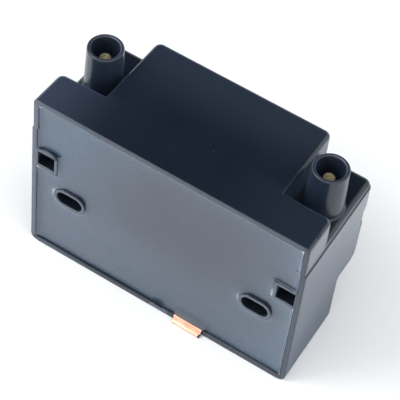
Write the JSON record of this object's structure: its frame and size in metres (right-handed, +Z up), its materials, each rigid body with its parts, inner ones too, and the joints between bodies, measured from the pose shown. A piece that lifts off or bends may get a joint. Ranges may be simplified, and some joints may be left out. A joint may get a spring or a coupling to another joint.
{
  "type": "ignition transformer",
  "caption": "Potted ignition transformer: black moulded housing with socketed high-voltage towers on a stepped top, a resin-filled open back, fixing slots and a mains inlet.",
  "frame": {"origin": "centre of the flat bottom face that the housing stands on", "axes": "+X along the long side, towards the right-hand tower as seen from the open resin side; +Y from the open resin side to the front with the mains inlet; +Z up, along the towers"},
  "size_m": [0.0968, 0.0437, 0.0749],
  "materials": {
    "moulded_black": "glossy blue-black moulded thermoplastic",
    "resin": "cast potting resin, satin sheen",
    "terminal_brass": "dull turned brass",
    "copper": "bright copper strip",
    "inlet_plastic": "black moulded plastic",
    "tinned_brass": "tinned contact blade",
    "board_laminate": "glass-epoxy laminate",
    "yellow_plastic": "moulded capacitor case",
    "red_plastic": "dipped capacitor case",
    "ferrite": "dark grey sintered ferrite",
    "enamelled_copper": "enamelled copper winding",
    "sink_aluminium": "bent plate, mill finish",
    "black_epoxy": "moulded epoxy",
    "screw_steel": "zinc-plated screw",
    "tan_lacquer": "lacquered film resistor",
    "blue_lacquer": "glass diode body, lacquered",
    "shim_card": "pressboard shim",
    "former_plastic": "moulded winding former",
    "wire_insulation": "silicone insulated wire"
  },
  "bodies": {
    "root": {"housing_tub": "moulded_black", "top_cover": "moulded_black", "potting_compound": "resin", "hv_terminal_left": "terminal_brass", "hv_terminal_right": "terminal_brass", "earth_strip": "copper", "mains_inlet": "inlet_plastic", "live_blade": "tinned_brass", "neutral_blade": "tinned_brass", "earth_blade": "tinned_brass", "circuit_board": "board_laminate", "suppression_capacitor": "yellow_plastic", "drive_capacitor": "red_plastic", "choke_core": "ferrite", "choke_winding": "enamelled_copper", "heat_sink": "sink_aluminium", "switching_transistor": "black_epoxy", "transistor_screw": "screw_steel", "rectifier_diodes": "black_epoxy", "resistors": "tan_lacquer", "trigger_diac": "blue_lacquer", "ferrite_core_left": "ferrite", "ferrite_core_right": "ferrite", "core_gap_shims": "shim_card", "secondary_former": "former_plastic", "secondary_winding_left": "enamelled_copper", "secondary_winding_right": "enamelled_copper", "primary_former": "former_plastic", "primary_winding": "enamelled_copper", "primary_leads": "wire_insulation", "hv_lead_left": "wire_insulation", "hv_lead_right": "wire_insulation"}
  },
  "joints": []
}
